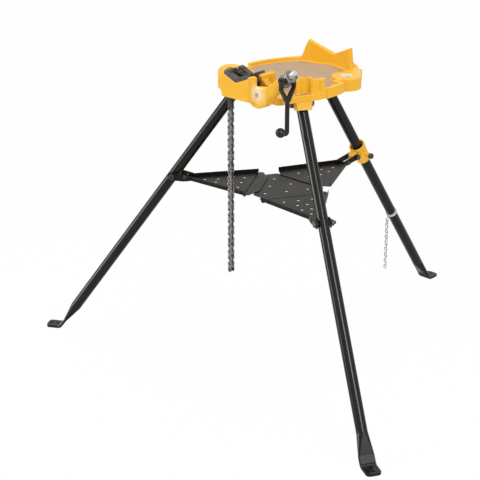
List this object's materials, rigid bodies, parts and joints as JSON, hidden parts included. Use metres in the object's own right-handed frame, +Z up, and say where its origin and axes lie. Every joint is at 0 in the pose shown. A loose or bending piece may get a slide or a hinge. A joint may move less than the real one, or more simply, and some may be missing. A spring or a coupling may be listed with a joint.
{
  "type": "tripod pipe vise stand",
  "caption": "Folding tripod stand with a top-screw chain vise for holding pipe, a V pipe rest, bending grooves and a folding tool tray.",
  "frame": {"origin": "on the floor, at the middle of the footprint", "axes": "+X to the crank side, -Y to the vise end, +Z up"},
  "size_m": [1.3468, 1.197, 0.9586],
  "materials": {
    "yellow_paint": "gloss",
    "leg_paint": "gloss",
    "tray_paint": "satin",
    "black_gloss": "gloss",
    "black_steel": "satin",
    "dark_steel": "satin",
    "chain_steel": "satin",
    "zinc_steel": "satin"
  },
  "bodies": {
    "head": {"head_casting": "yellow_paint", "front_vise_jaw": "black_steel", "rear_vise_jaw": "black_steel", "vise_jaw_screws": "black_steel", "leg_pivot_bolts": "zinc_steel", "leg_pivot_nuts": "zinc_steel", "chain_guide_pin": "zinc_steel", "thrust_washer": "zinc_steel", "seated_chain_plates": "chain_steel", "seated_chain_pins": "dark_steel"},
    "chain_screw": {"chain_screw": "zinc_steel", "screw_end_pin": "dark_steel", "screw_end_link": "chain_steel"},
    "crank_nut": {"crank_nut": "zinc_steel", "crank_pivot_pins": "dark_steel"},
    "crank": {"crank_fork": "black_gloss", "crank_knob": "black_gloss"},
    "upper_chain": {"upper_chain_plates": "chain_steel", "upper_chain_pins": "dark_steel"},
    "middle_chain": {"middle_chain_plates": "chain_steel", "middle_chain_pins": "dark_steel"},
    "lower_chain": {"lower_chain_plates": "chain_steel", "lower_chain_pins": "dark_steel"},
    "front_left_leg": {"front_left_leg": "leg_paint", "front_left_tray_bolt": "zinc_steel", "front_left_tray_nut": "zinc_steel"},
    "front_left_tray_arm": {"front_left_tray_arm": "tray_paint", "front_left_tray_brackets": "tray_paint", "front_left_tray_rivets": "zinc_steel", "front_left_hinge_wire": "zinc_steel"},
    "front_left_hinge_strip": {"front_left_hinge_strip": "tray_paint"},
    "front_right_leg": {"front_right_leg": "leg_paint", "front_right_tray_bolt": "zinc_steel", "front_right_tray_nut": "zinc_steel"},
    "front_right_tray_arm": {"front_right_tray_arm": "tray_paint", "front_right_tray_brackets": "tray_paint", "front_right_tray_rivets": "zinc_steel", "front_right_hinge_wire": "zinc_steel"},
    "front_right_hinge_strip": {"front_right_hinge_strip": "tray_paint"},
    "rear_leg": {"rear_leg": "leg_paint", "leg_keeper_ring": "zinc_steel"},
    "rear_collar": {"rear_collar": "yellow_paint", "collar_pivot_pin": "zinc_steel", "collar_set_screw": "black_steel"},
    "collar_lock_plunger": {"collar_lock_plunger": "zinc_steel"},
    "rear_tray_arm": {"rear_tray_arm": "tray_paint", "rear_tray_clevis": "tray_paint", "rear_tray_rivets": "zinc_steel"},
    "tray_centre": {"tray_centre_panel": "tray_paint", "tray_centre_wires": "zinc_steel"},
    "keeper_chain_upper": {"keeper_chain_upper": "zinc_steel"},
    "keeper_chain_lower": {"keeper_chain_lower": "zinc_steel"}
  },
  "joints": [
    {"name": "front_right_leg_fold", "type": "hinge", "parent": "head", "child": "front_right_leg", "pos_m": [0.12046, -0.2682, 0.832], "axis": [0.5, 0.866, 0], "range_deg": [0, 20]},
    {"name": "front_left_leg_fold", "type": "hinge", "parent": "head", "child": "front_left_leg", "pos_m": [-0.12046, -0.2682, 0.832], "axis": [0.5, -0.866, 0], "range_deg": [0, 20]},
    {"name": "rear_leg_fold", "type": "hinge", "parent": "head", "child": "rear_leg", "pos_m": [0, -0.03255, 0.832], "axis": [-1, 0, 0], "range_deg": [0, 20]},
    {"name": "front_right_arm_fold", "type": "hinge", "parent": "front_right_leg", "child": "front_right_tray_arm", "pos_m": [0.29419, -0.3685, 0.54763], "axis": [0.5, 0.866, 0], "range_deg": [0, 41]},
    {"name": "front_right_strip_fold", "type": "hinge", "parent": "front_right_tray_arm", "child": "front_right_hinge_strip", "pos_m": [0.08487, -0.24765, 0.5345], "axis": [0.5, 0.866, 0], "range_deg": [-44, 0]},
    {"name": "front_left_arm_fold", "type": "hinge", "parent": "front_left_leg", "child": "front_left_tray_arm", "pos_m": [-0.29419, -0.3685, 0.54763], "axis": [0.5, -0.866, 0], "range_deg": [0, 41]},
    {"name": "front_left_strip_fold", "type": "hinge", "parent": "front_left_tray_arm", "child": "front_left_hinge_strip", "pos_m": [-0.08487, -0.24765, 0.5345], "axis": [0.5, -0.866, 0], "range_deg": [-44, 0]},
    {"name": "rear_collar_slide", "type": "slide", "parent": "rear_leg", "child": "rear_collar", "axis": [0, 0.5764, -0.8171], "range_m": [0, 0.00698]},
    {"name": "rear_arm_fold", "type": "hinge", "parent": "rear_collar", "child": "rear_tray_arm", "pos_m": [0, 0.12735, 0.552], "axis": [-1, 0, 0], "range_deg": [0, 41]},
    {"name": "tray_centre_lift", "type": "slide", "parent": "head", "child": "tray_centre", "axis": [0, 0, 1], "range_m": [0, 0.17]},
    {"name": "lock_plunger_pull", "type": "slide", "parent": "rear_collar", "child": "collar_lock_plunger", "axis": [1, 0, 0], "range_m": [0, 0.006]},
    {"name": "crank_nut_turn", "type": "hinge", "parent": "head", "child": "crank_nut", "pos_m": [0.161, -0.37265, 0.931], "axis": [0.7561, 0, 0.6544], "range_deg": [-90, 0]},
    {"name": "chain_screw_travel", "type": "slide", "parent": "head", "child": "chain_screw", "axis": [0.7561, 0, 0.6544], "range_m": [0, 0.00076]},
    {"name": "crank_fork_swing", "type": "hinge", "parent": "crank_nut", "child": "crank", "pos_m": [0.161, -0.37265, 0.931], "axis": [0, -1, 0], "range_deg": [0, 120]},
    {"name": "upper_chain_swing", "type": "hinge", "parent": "head", "child": "upper_chain", "pos_m": [-0.051, -0.37265, 0.80852], "axis": [0, 1, 0], "range_deg": [-10, 10]},
    {"name": "middle_chain_swing", "type": "hinge", "parent": "upper_chain", "child": "middle_chain", "pos_m": [-0.051, -0.37265, 0.61668], "axis": [0, 1, 0], "range_deg": [-10, 10]},
    {"name": "lower_chain_swing", "type": "hinge", "parent": "middle_chain", "child": "lower_chain", "pos_m": [-0.051, -0.37265, 0.42484], "axis": [0, 1, 0], "range_deg": [-10, 10]},
    {"name": "keeper_chain_swing", "type": "hinge", "parent": "rear_leg", "child": "keeper_chain_upper", "pos_m": [0, 0.31673, 0.29322], "axis": [1, 0, 0], "range_deg": [-12, 12]},
    {"name": "keeper_chain_lower_swing", "type": "hinge", "parent": "keeper_chain_upper", "child": "keeper_chain_lower", "pos_m": [0, 0.31673, 0.19522], "axis": [1, 0, 0], "range_deg": [-12, 12]}
  ],
  "couplings": [
    {"joint": "front_right_leg_fold", "follows": "rear_leg_fold", "ratio": 1},
    {"joint": "front_right_arm_fold", "follows": "rear_leg_fold", "ratio": 2.05},
    {"joint": "front_right_strip_fold", "follows": "rear_leg_fold", "ratio": -2.2},
    {"joint": "front_left_leg_fold", "follows": "rear_leg_fold", "ratio": 1},
    {"joint": "front_left_arm_fold", "follows": "rear_leg_fold", "ratio": 2.05},
    {"joint": "front_left_strip_fold", "follows": "rear_leg_fold", "ratio": -2.2},
    {"joint": "rear_collar_slide", "follows": "rear_leg_fold", "m_per_rad": 0.02},
    {"joint": "rear_arm_fold", "follows": "rear_leg_fold", "ratio": 2.05},
    {"joint": "tray_centre_lift", "follows": "rear_leg_fold", "m_per_rad": 0.487},
    {"joint": "chain_screw_travel", "follows": "crank_nut_turn", "m_per_rad": -0.00047746}
  ]
}
